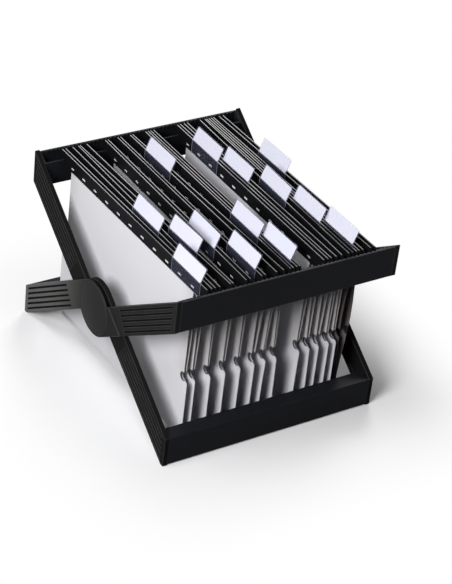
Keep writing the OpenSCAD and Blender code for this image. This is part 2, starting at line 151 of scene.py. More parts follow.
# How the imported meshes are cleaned, rounded and shaded
WELD_DISTANCE = 0.001 * MM
FLAT_ANGLE = math.radians(0.4)
BEVEL_ANGLE = math.radians(30)
SMOOTH_ANGLE = math.radians(50)
SHEET_SMOOTH_ANGLE = math.radians(40)
TAB_SMOOTH_ANGLE = math.radians(35)
STEEL_EDGE_RADIUS = 0.2 * MM

# The camera's sensor in millimetres and the range that it sees in metres
SENSOR_WIDTH = 36
CLIP_START, CLIP_END = 0.05, 50

# The soft lamps: the setting with each one's power, then its place in degrees, round from the
# front to the left and up from the floor
LAMPS = (
    ("key_lamp", "key_power", 64, 34),
    ("high_lamp", "high_power", 90, 64),
    ("back_lamp", "back_power", 222, 30),
)


# ---------------------------------------------------------------- settings


class StandLook(bpy.types.PropertyGroup):
    """Sizes and colours of the folding stand"""

    arm_colour: FloatVectorProperty(
        name="Arm colour",
        description="Charcoal of the moulded side arms",
        default=(0.0130, 0.0131, 0.0128),
        subtype="COLOR",
    )
    beam_colour: FloatVectorProperty(
        name="Beam colour",
        description="Blue black of the cross beams",
        default=(0.0110, 0.0115, 0.0142),
        subtype="COLOR",
    )
    cap_colour: FloatVectorProperty(
        name="Cap colour",
        description="Colour of the two hub caps",
        default=(0.0200, 0.0200, 0.0205),
        subtype="COLOR",
    )
    # Painted shade: a darker tone laid on the floors of the arms' grooves
    groove_shade_colour: FloatVectorProperty(
        name="Groove colour",
        description="Darker tone of the floors of the arms' long grooves",
        default=(0.0022, 0.0022, 0.0022),
        subtype="COLOR",
    )
    steel_colour: FloatVectorProperty(
        name="Steel colour",
        description="Colour of the pivot pins and their rings",
        default=(0.52, 0.53, 0.55),
        subtype="COLOR",
    )
    edge_radius: FloatProperty(
        name="Edge radius",
        description="Rounding of the moulded edges of arms and beams",
        default=0.5 * MM,
        unit="LENGTH",
    )
    cap_edge_radius: FloatProperty(
        name="Cap edge radius",
        description="Rounding of the hub caps' rims",
        default=0.35 * MM,
        unit="LENGTH",
    )
    tooth_pitch: FloatProperty(
        name="Tooth pitch",
        description="Spacing of the teeth along the top beams' lips",
        default=6 * MM,
        unit="LENGTH",
    )
    tooth_reach: FloatProperty(
        name="Tooth reach",
        description="How far one tooth reaches in from the lip's inner edge",
        default=1.2 * MM,
        unit="LENGTH",
    )


class FolderLook(bpy.types.PropertyGroup):
    """Sizes and colours of the hanging folders"""

    card_colour: FloatVectorProperty(
        name="Card colour",
        description="Near white of the folders' sheets",
        default=(0.70, 0.70, 0.735),
        subtype="COLOR",
    )
    # Painted shade: the last folder's sheet is darkened to grey brown
    last_card_shade_colour: FloatVectorProperty(
        name="Last card colour",
        description="Grey brown of the last folder's sheet",
        default=(0.16, 0.14, 0.145),
        subtype="COLOR",
    )
    rail_colour: FloatVectorProperty(
        name="Rail colour",
        description="Black of the slotted rails",
        default=(0.0055, 0.0056, 0.0066),
        subtype="COLOR",
    )
    # Painted highlight along the top of each rail
    rail_highlight_colour: FloatVectorProperty(
        name="Rail line colour",
        description="Light line along the top of each rail",
        default=(0.48, 0.48, 0.49),
        subtype="COLOR",
    )
    label_colour: FloatVectorProperty(
        name="Label colour",
        description="Pale violet white of the paper labels",
        default=(0.77, 0.77, 0.84),
        subtype="COLOR",
    )
    holder_tint: FloatVectorProperty(
        name="Holder tint",
        description="Faint blue of the clear label holders",
        default=(0.30, 0.32, 0.52),
        subtype="COLOR",
    )
    holder_rim_tint: FloatVectorProperty(
        name="Holder rim tint",
        description="Paler blue of the holders' cut edges, which gather light",
        default=(0.62, 0.64, 0.80),
        subtype="COLOR",
    )
    rail_edge_radius: FloatProperty(
        name="Rail edge radius",
        description="Rounding of the rails' edges",
        default=0.3 * MM,
        unit="LENGTH",
    )
    rail_highlight_border: FloatProperty(
        name="Rail line border",
        description="Dark border on each side of the pale line along a rail's top",
        default=0.45 * MM,
        unit="LENGTH",
    )
    pip_radius: FloatProperty(
        name="Pip radius",
        description="Radius of the small pips midway between the rails' windows",
        default=0.75 * MM,
        unit="LENGTH",
    )
    pip_height: FloatProperty(
        name="Pip height",
        description="Height of one pip above the rail's face",
        default=0.3 * MM,
        unit="LENGTH",
    )
    label_corner: FloatProperty(
        name="Label corner",
        description="Corner radius of the labels and their holders",
        default=1.6 * MM,
        unit="LENGTH",
    )
    folded_share: FloatProperty(
        name="Folded share",
        description="Share of its thickness that a folder keeps in the slit of the folded stand",
        default=0.0025,
        min=0.001,
        max=1.0,
    )


class StageLook(bpy.types.PropertyGroup):
    """Camera, floor and light"""

    azimuth: FloatProperty(
        name="Azimuth",
        description="Where the camera stands round the stand, from the front",
        default=math.radians(-35.270),
        subtype="ANGLE",
    )
    elevation: FloatProperty(
        name="Elevation",
        description="How far the camera looks down",
        default=math.radians(33.806),
        subtype="ANGLE",
    )
    roll: FloatProperty(
        name="Roll",
        description="How far the camera leans to its side",
        default=math.radians(6.838),
        subtype="ANGLE",
    )
    distance: FloatProperty(
        name="Distance",
        description="From the camera to the point that it looks at",
        default=2.4692,
        unit="LENGTH",
    )
    target: FloatVectorProperty(
        name="Target",
        description="Point that the camera looks at",
        default=(0.010508, -0.037061, 0.120),
        subtype="TRANSLATION",
    )
    lens: FloatProperty(
        name="Lens",
        description="Focal length in millimetres for a 36 mm wide sensor",
        default=122.406,
        unit="CAMERA",
    )
    floor_colour: FloatVectorProperty(
        name="Floor colour",
        description="Pale colour of the floor",
        default=(0.86, 0.86, 0.87),
        subtype="COLOR",
    )
    floor_bounce: FloatVectorProperty(
        name="Floor bounce",
        description="How much light the floor throws back up onto the stand",
        default=(0.12, 0.12, 0.12),
        subtype="COLOR",
    )
    world_strength: FloatProperty(
        name="World strength",
        description="Even light from all round",
        default=0.05,
    )
    key_power: FloatProperty(
        name="Key power",
        description="Power of the soft lamp at the front left",
        default=40.0,
        unit="POWER",
    )
    high_power: FloatProperty(
        name="High power",
        description="Power of the soft lamp high up at the left",
        default=13.0,
        unit="POWER",
    )
    back_power: FloatProperty(
        name="Back power",
        description="Power of the weak soft lamp behind the stand",
        default=16.0,
        unit="POWER",
    )
    lamp_size: FloatProperty(
        name="Lamp size",
        description="Width of each soft lamp",
        default=0.9,
        unit="LENGTH",
    )
    lamp_distance: FloatProperty(
        name="Lamp distance",
        description="From each lamp to the hubs' middle",
        default=2.0,
        unit="LENGTH",
    )
    floor_half: FloatProperty(
        name="Floor half width",
        description="Half the width of the floor",
        default=6.0,
        unit="LENGTH",
    )


# ---------------------------------------------------------------- finishes


class Wire:
    """A value that a node gives. Sums and products of wires and numbers add Math nodes."""

    def __init__(self, finish, socket):
        self.finish = finish
        self.socket = socket

    def __add__(self, other):
        return self.finish.maths("ADD", self, other)

    __radd__ = __add__

    def __sub__(self, other):
        return self.finish.maths("SUBTRACT", self, other)

    def __rsub__(self, other):
        return self.finish.maths("SUBTRACT", other, self)

    def __mul__(self, other):
        return self.finish.maths("MULTIPLY", self, other)

    __rmul__ = __mul__


class Nodes:
    """A node tree and the methods that add nodes to it"""

    def __init__(self, tree):
        self.tree = tree

    def node(self, kind, settings=None, values=None, output=0):
        made = self.tree.nodes.new(kind)
        for key, value in (settings or {}).items():
            setattr(made, key, value)
        for key, value in (values or {}).items():
            self.join(made.inputs[key], value)
        return Wire(self, made.outputs[output])

    def join(self, socket, value):
        if isinstance(value, Wire):
            self.tree.links.new(value.socket, socket)
        else:
            socket.default_value = value

    def maths(self, operation, *values):
        """The result of one sum, product or other operation"""
        return self.node("ShaderNodeMath", {"operation": operation}, dict(enumerate(values)))

    def length(self, across, along):
        """The length of a flat vector with these two parts"""
        return self.maths("SQRT", across * across + along * along)

    def place(self, stretch=(1, 1, 1)):
        """The point on the piece, in metres, stretched along the axes"""
        point = self.node("ShaderNodeTexCoord", output="Object")
        return self.node("ShaderNodeMapping", {}, {"Vector": point, "Scale": stretch})

    def axis(self, name):
        """One coordinate of the point on the piece"""
        point = self.node("ShaderNodeTexCoord", output="Object")
        return self.node("ShaderNodeSeparateXYZ", {}, {0: point}, name)

    def noise(self, size, stretch=(1, 1, 1), detail=3.0, rough=0.55):
        """Noise from 0 to 1 with features of that size in metres"""
        values = {
            "Vector": self.place(stretch),
            "Scale": 1 / size,
            "Detail": detail,
            "Roughness": rough,
        }
        return self.node("ShaderNodeTexNoise", {}, values, "Fac")

    def cells(self, size):
        """Distance to the nearest of many scattered points, for pits"""
        values = {"Vector": self.place(), "Scale": 1 / size}
        return self.node("ShaderNodeTexVoronoi", {"feature": "F1"}, values, "Distance")

    def ramp(self, value, low, high):
        """0 below low, 1 above high, and smooth between them"""
        values = {"Value": value, "From Min": low, "From Max": high}
        return self.node("ShaderNodeMapRange", {"interpolation_type": "SMOOTHSTEP"}, values)

    def blend(self, share, first, second):
        """A colour between two colours"""
        values = {0: share, 6: opaque(first), 7: opaque(second)}
        return self.node("ShaderNodeMix", {"data_type": "RGBA"}, values, 2)

    def bump(self, height, depth):
        """A height in metres once it is multiplied by depth"""
        return self.node("ShaderNodeBump", {}, {"Height": height, "Distance": depth})


class Finish(Nodes):
    """A material"""

    def __init__(self, name):
        self.material = bpy.data.materials.new(name)
        self.material.use_nodes = True
        super().__init__(self.material.node_tree)
        self.surface = self.tree.nodes["Principled BSDF"]
        self.output = self.tree.nodes["Material Output"]

    def set(self, **values):
        """Sets the surface's sockets, each named with _ for a space"""
        for key, value in values.items():
            self.join(self.surface.inputs[key.replace("_", " ")], value)

    def body(self):
        """The surface's own shader"""
        return Wire(self, self.surface.outputs[0])

    def show_mixed(self, share, first, second):
        """Shows the first shader mixed with that share of the second one"""
        mixed = self.node("ShaderNodeMixShader", {}, {0: share, 1: first, 2: second})
        self.join(self.output.inputs["Surface"], mixed)


def opaque(colour):
    """A colour with an alpha of 1, or a wire as it is"""
    return colour if isinstance(colour, Wire) else (*colour[:3], 1.0)


def shaded(colour, factor):
    """The colour made darker or lighter by a factor"""
    return tuple(min(1.0, c * factor) for c in colour)


def moulded_plastic(
    name,
    colour,
    roughness,
    grain=0.45 * MM,
    depth=0.03 * MM,
    flow=(1, 1, 1),
    gloss=0.02,
    painted_back_light=False,
):
    """Spark-textured moulded plastic with faint flow marks and cloudy gloss. With
    painted_back_light it also gets much paler towards the back, as painted light."""
    finish = Finish(name)
    fine = finish.noise(grain)
    pits = finish.cells(grain * 1.6)
    clouds = finish.noise(38 * MM, flow, 2.0)
    dust = finish.ramp(finish.noise(1.1 * MM, detail=5.0, rough=0.7), 0.60, 0.74)
    mottle = fine * 0.55 + clouds * 0.45
    tone = finish.blend(mottle, shaded(colour, 0.70), shaded(colour, 1.25))
    if painted_back_light:
        towards_back = finish.ramp(finish.axis("Y"), *ARM_BACK_LIGHT_SPAN)
        # Painted light: the plastic turns much paler towards the back
        tone = finish.blend(towards_back, tone, shaded(colour, 9.0))
    finish.set(
        Base_Color=finish.blend(dust * 0.3, tone, shaded(colour, 2.0)),
        Roughness=roughness + (clouds - 0.5) * 0.16 + (fine - 0.5) * 0.10,
        Normal=finish.bump(fine * 0.6 + pits * 0.4, depth),
        Specular_IOR_Level=gloss,
    )
    return finish.material


def worn_highlit_edge(name, colour, roughness):
    """The same plastic with its edges paler: handling wear and a painted highlight along the edges
    """
    finish = Finish(name)
    patchy = finish.ramp(finish.noise(24 * MM, detail=3.0), 0.30, 0.70)
    fine = finish.noise(0.5 * MM)
    finish.set(
        # Paler edges: wear and a painted highlight
        Base_Color=finish.blend(patchy, shaded(colour, 1.2), shaded(colour, 2.4)),
        Roughness=roughness - patchy * 0.05 + (fine - 0.5) * 0.06,
        Normal=finish.bump(fine, 0.012 * MM),
        Specular_IOR_Level=0.1,
    )
    return finish.material


def turned_steel(name, colour):
    """Bright steel with fine turning marks and a few darker rubs"""
    finish = Finish(name)
    marks = finish.noise(0.25 * MM, (1, 6, 6), 2.0)
    rubs = finish.noise(3.5 * MM, detail=4.0)
    finish.set(
        Base_Color=finish.blend(rubs, shaded(colour, 0.75), colour),
        Metallic=1.0,
        Roughness=0.24 + marks * 0.12 + rubs * 0.10,
        Normal=finish.bump(marks, 0.008 * MM),
    )
    return finish.material


def rail_plastic(name, colour):
    """Black rail with a fine drawn grain and cloudy gloss"""
    finish = Finish(name)
    drawn = finish.noise(0.5 * MM, (1, 0.06, 1), 3.0)
    fine = finish.noise(0.4 * MM)
    clouds = finish.noise(26 * MM, (1, 0.4, 1), 2.0)
    mottle = drawn * 0.5 + clouds * 0.5
    finish.set(
        Base_Color=finish.blend(mottle, shaded(colour, 0.65), shaded(colour, 1.3)),
        Roughness=0.46 + (clouds - 0.5) * 0.16 + (fine - 0.5) * 0.08,
        Normal=finish.bump(drawn * 0.5 + fine * 0.5, 0.014 * MM),
        Specular_IOR_Level=0.03,
    )
    return finish.material


def rail_line(name, colour):
    """Painted highlight: a narrow pale line along the top of a rail, uneven and duller towards the
    front
    """
    finish = Finish(name)
    patchy = finish.noise(14 * MM, (1, 0.35, 1), 3.0)
    fine = finish.noise(0.6 * MM, (1, 0.2, 1))
    bright = finish.ramp(finish.axis("Y"), *RAIL_HIGHLIGHT_SPAN)
    highlight_mottle = patchy * 0.7 + fine * 0.3
    finish.set(
        Base_Color=finish.blend(
            bright,
            finish.blend(highlight_mottle, shaded(colour, 0.12), shaded(colour, 0.28)),
            finish.blend(highlight_mottle, shaded(colour, 0.70), colour),
        ),
        Roughness=0.38 + (fine - 0.5) * 0.1,
        Normal=finish.bump(fine, 0.005 * MM),
        Specular_IOR_Level=0.2,
    )
    return finish.material


def folder_card(name, colour):
    """Smooth card: short fibres and cloudy tone, with painted shade warmer and greyer at the upper
    ends and dark round the notches"""
    finish = Finish(name)
    fibres = finish.noise(0.35 * MM, (1, 0.5, 1), 4.0, 0.7)
    pulp = finish.noise(2.6 * MM, detail=4.0)
    clouds = finish.noise(60 * MM, detail=2.0)
    reach, height = finish.maths("ABSOLUTE", finish.axis("Y")), finish.axis("Z")
    # Painted shade: warmer and greyer at the sheets' upper ends
    upper_end_shade = finish.ramp(reach, *SHEET_END_SHADE_SPAN) * finish.ramp(height, *SHEET_UPPER_SHADE_SPAN)
    painted_warm_shade = tuple(c * share for c, share in zip(colour, (0.80, 0.74, 0.68)))
    # Painted shade: dark round the notches
    from_notch = finish.length(reach - NOTCH_PLACE[0], height - NOTCH_PLACE[1])
    clear_of_notch_shade = finish.ramp(from_notch, *NOTCH_SHADE_SPAN)
    mottle = fibres * 0.35 + pulp * 0.35 + clouds * 0.30
    tone = finish.blend(mottle, shaded(colour, 0.95), shaded(colour, 1.03))
    tone = finish.blend(upper_end_shade * 0.55, tone, painted_warm_shade)
    finish.set(
        Base_Color=finish.blend(clear_of_notch_shade, shaded(colour, 0.12), tone),
        Roughness=0.66 + (pulp - 0.5) * 0.16,
        Normal=finish.bump(fibres * 0.5 + pulp * 0.5, 0.012 * MM),
        Specular_IOR_Level=0.10,
    )
    return finish.material


def label_paper(name, colour):
    """Smooth label paper with faint fibres"""
    finish = Finish(name)
    fibres = finish.noise(0.4 * MM, (1, 0.6, 1), 4.0, 0.7)
    pulp = finish.noise(3.5 * MM, detail=4.0)
    finish.set(
        Base_Color=finish.blend(fibres * 0.3 + pulp * 0.7, shaded(colour, 0.975), colour),
        Roughness=0.58 + (pulp - 0.5) * 0.14,
        Normal=finish.bump(fibres, 0.002 * MM),
        Specular_IOR_Level=0.2,
    )
    return finish.material


def clear_plastic(name, tint, body_share):
    """Clear stiff film: see-through apart from a share of blue body, with hairlines and gloss"""
    finish = Finish(name)
    hairlines = finish.ramp(finish.noise(0.5 * MM, (1, 0.05, 1), 3.0), 0.56, 0.70)
    smears = finish.noise(9 * MM, detail=3.0)
    finish.set(
        Base_Color=finish.blend(smears, shaded(tint, 0.8), shaded(tint, 1.2)),
        Roughness=0.16 + smears * 0.08 + hairlines * 0.03,
        Normal=finish.bump(smears, 0.01 * MM),
        Specular_IOR_Level=0.3,
    )
    seen = finish.node("ShaderNodeBsdfTransparent", {}, {"Color": (0.985, 0.986, 0.995, 1)})
    share = body_share + hairlines * 0.004 + smears * 0.01
    finish.show_mixed(share, seen, finish.body())
    return finish.material


# ---------------------------------------------------------------- shaping


def select_only(piece):
    """Makes the piece the only selected and the active one"""
    bpy.ops.object.select_all(action="DESELECT")
    piece.select_set(True)
    bpy.context.view_layer.objects.active = piece


def in_edit_mode(piece, *steps):
    """Runs steps on all of the piece's mesh in edit mode"""
    select_only(piece)
    bpy.ops.object.mode_set(mode="EDIT")
    bpy.ops.mesh.select_all(action="SELECT")
    for step in steps:
        step()
    bpy.ops.object.mode_set(mode="OBJECT")


def merged_copy(node, name):
    """A copy of a node's mesh as one closed skin of flat faces, ready to be shaped"""
    piece = bpy.data.objects.new(name, frame["nodes"][node].data.copy())
    bpy.context.scene.collection.objects.link(piece)
    piece.data.materials.clear()
    in_edit_mode(
        piece,
        lambda: bpy.ops.mesh.remove_doubles(threshold=WELD_DISTANCE),
        lambda: bpy.ops.mesh.dissolve_limited(angle_limit=FLAT_ANGLE),
    )
    select_only(piece)
    bpy.ops.mesh.customdata_custom_splitnormals_clear()
    return piece


def apply_modifier(piece, kind, **settings):
    """Adds a modifier with those settings and applies it to the mesh"""
    modifier = piece.modifiers.new(kind.title(), kind)
    for key, value in settings.items():
        setattr(modifier, key, value)
    select_only(piece)
    bpy.ops.object.modifier_apply(modifier=modifier.name)


def smooth(piece, angle=SMOOTH_ANGLE):
    """Smooth shading that keeps flat faces flat"""
    select_only(piece)
    bpy.ops.object.shade_smooth_by_angle(angle=angle)
    apply_modifier(piece, "WEIGHTED_NORMAL", keep_sharp=True)


def bevelled(piece, radius, material_index, segments=2):
    """Rounds the piece's edges, which take that material"""
    apply_modifier(
        piece,
        "BEVEL",
        width=radius,
        segments=segments,
        limit_method="ANGLE",
        angle_limit=BEVEL_ANGLE,
        material=material_index,
    )


def repeated(piece, count, step):
    """Repeats the piece's mesh along a line"""
    apply_modifier(
        piece,
        "ARRAY",
        count=count,
        use_relative_offset=False,
        use_constant_offset=True,
        constant_offset_displace=step,
    )


def rounded(piece, radius, materials):
    """Rounds the piece's edges, which take the last material, and shades it"""
    for material in materials:
        piece.data.materials.append(material)
    bevelled(piece, radius, len(materials) - 1)
    smooth(piece)


def give_faces(piece, chosen, material_index, inset=0):
    """Gives the chosen faces a material. They are inset as one region first, where that is asked"""
    in_edit_mode(
        piece,
        lambda: bpy.ops.mesh.select_mode(type="FACE"),
        lambda: bpy.ops.mesh.select_all(action="DESELECT"),
    )
    for face in piece.data.polygons:
        face.select = chosen(face)
    piece.active_material_index = material_index
    bpy.ops.object.mode_set(mode="EDIT")
    if inset:
        bpy.ops.mesh.inset(thickness=inset)
    bpy.ops.object.material_slot_assign()
    bpy.ops.object.mode_set(mode="OBJECT")


def body_of(node):
    return frame["nodes"][node]["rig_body"]


def stand_for(piece, node):
    """The piece moves with the node's body and stands for it"""
    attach(piece, body_of(node))
    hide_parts(node)


def pressed_flat(piece):
    """Gives a folder's piece its own mesh"""
    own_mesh(piece)


def folder_names():
    return [f"folder_{k + 1:02d}" for k in range(FOLDER_COUNT)]


# ---------------------------------------------------------------- the stand


class FILEBOX_OT_arms(bpy.types.Operator):
    """Rounds the four moulded side arms and gives them their charcoal plastic"""

    bl_idname = "filebox.arms"
    bl_label = "Side arms"

    def execute(self, context):
        look = context.scene.stand_look
        # The inner arms get a darker copy of the arm plastic: painted shade
        inner_shade_colour = shaded(look.arm_colour, 0.7)
        plastics = {
            "outer": moulded_plastic("arm_plastic", look.arm_colour, 0.52, painted_back_light=True),
            "inner": moulded_plastic("inner_arm_plastic", inner_shade_colour, 0.52, gloss=0.008),
        }
        edge = worn_highlit_edge("arm_edge", look.arm_colour, 0.42)
        # Painted shade in the arms' grooves
        shade = moulded_plastic("arm_groove", look.groove_shade_colour, 0.60)
        for frame_side, face_x in ARM_FACE.items():
            for side in ("left", "right"):
                node = f"{frame_side}_{side}_arm"
                piece = merged_copy(node, f"arm_{frame_side}_{side}")
                for material in (plastics[frame_side], edge, shade):
                    piece.data.materials.append(material)
                bevelled(piece, look.edge_radius, 1)
                give_faces(piece, lambda face: self.in_groove(face, face_x), 2)
                smooth(piece)
                stand_for(piece, node)
        return {"FINISHED"}

    def in_groove(self, face, face_x):
        """The floors and the deeper half of the walls of the grooves in an arm's outer face, which
        get painted shade
        """
        return GROOVE_DARK_FROM < face_x - abs(face.center.x) < GROOVE_DARK_TO


class FILEBOX_OT_beams(bpy.types.Operator):
    """Rounds the four cross beams and sets the row of teeth inside the top beams' lips"""

    bl_idname = "filebox.beams"
    bl_label = "Cross beams"

    def execute(self, context):
        look = context.scene.stand_look
        plastic = moulded_plastic(
            "beam_plastic",
            look.beam_colour,
            0.40,
            grain=0.6 * MM,
            depth=0.016 * MM,
            flow=(0.25, 1, 1),
            gloss=0.035,
        )
        edge = worn_highlit_edge("beam_edge", look.beam_colour, 0.34)
        for level in ("top", "base"):
            for side in ("front", "back"):
                node = f"{level}_{side}_beam"
                piece = merged_copy(node, f"beam_{level}_{side}")
                rounded(piece, look.edge_radius, [plastic, edge])
                if level == "top":
                    self.add_teeth(look, piece, node, [plastic, edge])
                stand_for(piece, node)
        return {"FINISHED"}

    def add_teeth(self, look, beam, node, materials):
        """One rounded tooth, repeated along the lip and made part of the beam"""
        low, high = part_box(node)
        outer = high.y if high.y > 0 else low.y
        inward = -math.copysign(1, outer)
        run = (high.x - low.x) - TEETH_END_ROOM
        count = int(run / look.tooth_pitch)
        first = -(count - 1) * look.tooth_pitch / 2
        reach = look.tooth_reach + TOOTH_SUNK
        depth = outer + inward * (BEAM_WALL - TOOTH_SUNK + reach / 2)
        height = high.z - TOOTH_BELOW_LIP - TOOTH_HEIGHT / 2
        bpy.ops.object.select_all(action="DESELECT")
        bpy.ops.mesh.primitive_cube_add(
            size=1,
            scale=(look.tooth_pitch * TOOTH_SHARE, reach, TOOTH_HEIGHT),
            location=(first, depth, height),
        )
        teeth = context_piece("lip_teeth")
        rounded(teeth, TOOTH_EDGE_RADIUS, materials)
        repeated(teeth, count, (look.tooth_pitch, 0, 0))
        join([beam, teeth])


def context_piece(name):
    """The piece that was just added, with its place moved into its mesh"""
    piece = bpy.context.active_object
    piece.name = name
    select_only(piece)
    bpy.ops.object.transform_apply(location=True, rotation=True, scale=True)
    return piece


def join(pieces):
    """Makes all pieces part of the first one"""
    bpy.ops.object.select_all(action="DESELECT")
    for piece in pieces:
        piece.select_set(True)
    bpy.context.view_layer.objects.active = pieces[0]
    bpy.ops.object.join()


class FILEBOX_OT_pivots(bpy.types.Operator):
    """Finishes the hub caps, the pivot pins and their retaining rings"""

    bl_idname = "filebox.pivots"
    bl_label = "Pivots and caps"

    def execute(self, context):
        look = context.scene.stand_look
        plastic = moulded_plastic("cap_plastic", look.cap_colour, 0.44, 0.35 * MM, 0.016 * MM)
        edge = worn_highlit_edge("cap_edge", look.cap_colour, 0.36)
        steel = turned_steel("pivot_steel", look.steel_colour)
        for side in ("left", "right"):
            cap = merged_copy(f"{side}_hub_cap", f"cap_{side}")
            rounded(cap, look.cap_edge_radius, [plastic, edge])
            stand_for(cap, f"{side}_hub_cap")
            for kind, slot in (("pivot_pin", "pin_steel"), ("retaining_ring", "ring_steel")):
                piece = merged_copy(f"{side}_{kind}", f"{kind}_{side}_turned")
                rounded(piece, STEEL_EDGE_RADIUS, [steel])
                stand_for(piece, f"{side}_{kind}")
        return {"FINISHED"}


# ---------------------------------------------------------------- the folders


class FILEBOX_OT_cards(bpy.types.Operator):
    """Smooths the folded sheets and gives them their card"""

    bl_idname = "filebox.cards"
    bl_label = "Folder cards"

    def execute(self, context):
        look = context.scene.folder_look
        card = folder_card("folder_card", look.card_colour)
        # The last folder's sheet takes a dark grey brown: painted shade
        shaded_last_card = folder_card("last_folder_card", look.last_card_shade_colour)
        for folder in folder_names():
            piece = merged_copy(f"{folder}_card", f"{folder}_sheet")
            piece.data.materials.append(shaded_last_card if folder == folder_names()[-1] else card)
            smooth(piece, SHEET_SMOOTH_ANGLE)
            stand_for(piece, f"{folder}_card")
            pressed_flat(piece)
        return {"FINISHED"}


class FILEBOX_OT_rails(bpy.types.Operator):
    """Rounds the slotted rails and sets the small pips midway between their windows"""

    bl_idname = "filebox.rails"
    bl_label = "Folder rails"

    def execute(self, context):
        look = context.scene.folder_look
        plastic = rail_plastic("rail_plastic", look.rail_colour)
        # The painted highlight along each rail's top
        line = rail_line("rail_line", look.rail_highlight_colour)
        pips = self.pip_row(look, plastic)
        for folder in folder_names():
            piece = merged_copy(f"{folder}_rails", f"{folder}_slotted_rails")
            rows = [self.row_for(pips, bar) for bar in self.bars(piece)]
            for material in (plastic, line):
                piece.data.materials.append(material)
            bevelled(piece, look.rail_edge_radius, 0, 1)
            # The faces on top take the painted highlight, inset from the edges
            give_faces(piece, self.on_top, 1, look.rail_highlight_border)
            smooth(piece)
            join([piece, *rows])
            stand_for(piece, f"{folder}_rails")
            pressed_flat(piece)
        bpy.data.objects.remove(pips)
        return {"FINISHED"}

    def on_top(self, face):
        return face.normal.z > LOOKS_UP and face.center.z > RAIL_TOP - RAIL_TOP_SLACK

    def bars(self, piece):
        """Front and back x of the left and the right bar, read from their noses"""
        found = []
        points = [v.co for v in piece.data.vertices if abs(v.co.y) > RAIL_END - NOSE_TIP]
        back = sorted(p.x for p in points if p.y > 0)
        front = sorted(p.x for p in points if p.y < 0)
        for start in (0, 1):
            ends = []
            for row in (front, back):
                half = len(row) // 2
                part = row[start * half : start * half + half]
                ends.append((part[0] + part[-1]) / 2)
            found.append(ends)
        return found

    def pip_row(self, look, plastic):
        """A row of flat domes on both faces of a bar that runs along Y"""
        bpy.ops.object.select_all(action="DESELECT")
        bpy.ops.mesh.primitive_uv_sphere_add(segments=10, ring_count=6, radius=1)
        dome = context_piece("rail_pips")
        dome.data.materials.append(plastic)
        first = -(WINDOW_COUNT - 2) / 2 * WINDOW_PITCH
        place = Matrix.Translation((RAIL_THICKNESS / 2, first, WINDOW_MIDDLE))
        size = Matrix.Diagonal((look.pip_height, look.pip_radius, look.pip_radius, 1))
        dome.data.transform(place @ size)
        smooth(dome)
        repeated(dome, WINDOW_COUNT - 1, (0, WINDOW_PITCH, 0))
        apply_modifier(dome, "MIRROR", use_axis=(True, False, False))
        in_edit_mode(dome, lambda: bpy.ops.mesh.normals_make_consistent(inside=False))
        return dome

    def row_for(self, pips, bar):
        """A copy of the row, turned and moved onto a bar"""
        front, back = bar
        row = bpy.data.objects.new("rail_pips_row", pips.data.copy())
        bpy.context.scene.collection.objects.link(row)
        turn = -math.atan((back - front) / (2 * RAIL_END))
        place = Matrix.Translation(((back + front) / 2, 0, 0)) @ Matrix.Rotation(turn, 4, "Z")
        row.data.transform(place)
        return row


class FILEBOX_OT_tabs(bpy.types.Operator):
    """Parts each tab into its clear holder and its paper label, with rounded corners"""

    bl_idname = "filebox.tabs"
    bl_label = "Label tabs"

    def execute(self, context):
        look = context.scene.folder_look
        clear = clear_plastic("tab_clear", look.holder_tint, 0.03)
        rim = clear_plastic("tab_rim", look.holder_rim_tint, 0.45)
        paper = label_paper("label_paper", look.label_colour)
        for folder in folder_names():
            holder = merged_copy(f"{folder}_tab", f"{folder}_holder")
            label = self.part_label(holder, f"{folder}_label")
            holder.data.materials.append(clear)
            holder.data.materials.append(rim)
            label.data.materials.append(paper)
            give_faces(holder, self.on_rim, 1)
            self.round_corners(label, look.label_corner)
            self.round_corners(holder, look.label_corner)
            stand_for(holder, f"{folder}_tab")
            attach(label, body_of(f"{folder}_tab"))
            pressed_flat(holder)
            pressed_flat(label)
        return {"FINISHED"}

    def on_rim(self, face):
        """The film's cut edges: its two ends, its foot and the lips of its sleeve"""
        return abs(face.normal.y) > LOOKS_OUT or abs(face.normal.z) > LOOKS_OUT

    def part_label(self, holder, name):
        """Takes the label, the smaller of the two solids, out of the holder"""
        before = set(bpy.data.objects)
        in_edit_mode(holder, lambda: bpy.ops.mesh.separate(type="LOOSE"))
        parts = [holder, *(o for o in bpy.data.objects if o not in before)]
        if len(parts) != 2:
            raise RuntimeError(f"{holder.name} has {len(parts)} solids and not 2")
        label = min(parts, key=lambda o: len(o.data.polygons))
        if label is holder:
            raise RuntimeError(f"{holder.name} gave its own mesh away")
        label.name = name
        return label

    def round_corners(self, piece, radius):
        """Rounds the upright corners at the piece's two ends, seen on its broad face"""
        mesh = piece.data
        weights = mesh.attributes.new("bevel_weight_edge", "FLOAT", "EDGE")
        low = min(v.co.y for v in mesh.vertices)
        high = max(v.co.y for v in mesh.vertices)
        top = max(v.co.z for v in mesh.vertices)
        bottom = min(v.co.z for v in mesh.vertices)
        for edge in mesh.edges:
            a, b = (mesh.vertices[k].co for k in edge.vertices)
            from_ends = [min(abs(p.y - low), abs(p.y - high)) for p in (a, b)]
            at_end = max(from_ends) < CORNER_END_REACH
            across = abs((a - b).normalized().x) > RUNS_ACROSS
            at_top = max(a.z, b.z) > top - CORNER_TOP_REACH
            at_foot = min(a.z, b.z) < bottom + CORNER_FOOT_REACH
            if at_end and across and (at_top or at_foot):
                weights.data[edge.index].value = 1.0
        apply_modifier(piece, "BEVEL", width=radius, segments=4, limit_method="WEIGHT")
        smooth(piece, TAB_SMOOTH_ANGLE)


# ---------------------------------------------------------------- the stage


